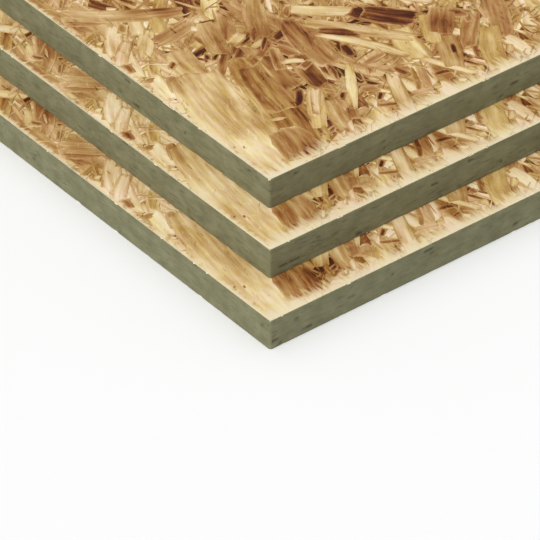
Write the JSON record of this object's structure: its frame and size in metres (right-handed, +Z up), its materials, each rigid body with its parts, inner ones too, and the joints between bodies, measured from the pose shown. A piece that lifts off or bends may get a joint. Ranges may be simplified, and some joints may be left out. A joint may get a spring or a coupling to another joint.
{
  "type": "stack of osb panels",
  "caption": "Stack of flat rectangular oriented strand board panels, each set back from the one below like a stair, with pressed wood strands on the faces and sealed olive edges.",
  "frame": {"origin": "middle of the stack's footprint, on the surface that it lies on", "axes": "+Z up through the panels' thickness, +Y along the panels' length, +X along their width; the nearest corner of the stair is at -X -Y"},
  "size_m": [1.264, 2.496, 0.054],
  "materials": {
    "osb_face": "pressed strands, matt to satin",
    "edge_seal": "sprayed olive edge sealer over sawn strand ends, matt"
  },
  "bodies": {
    "root": {"panel_bottom": "osb_face", "panel_middle": "osb_face", "panel_top": "osb_face"}
  },
  "joints": []
}
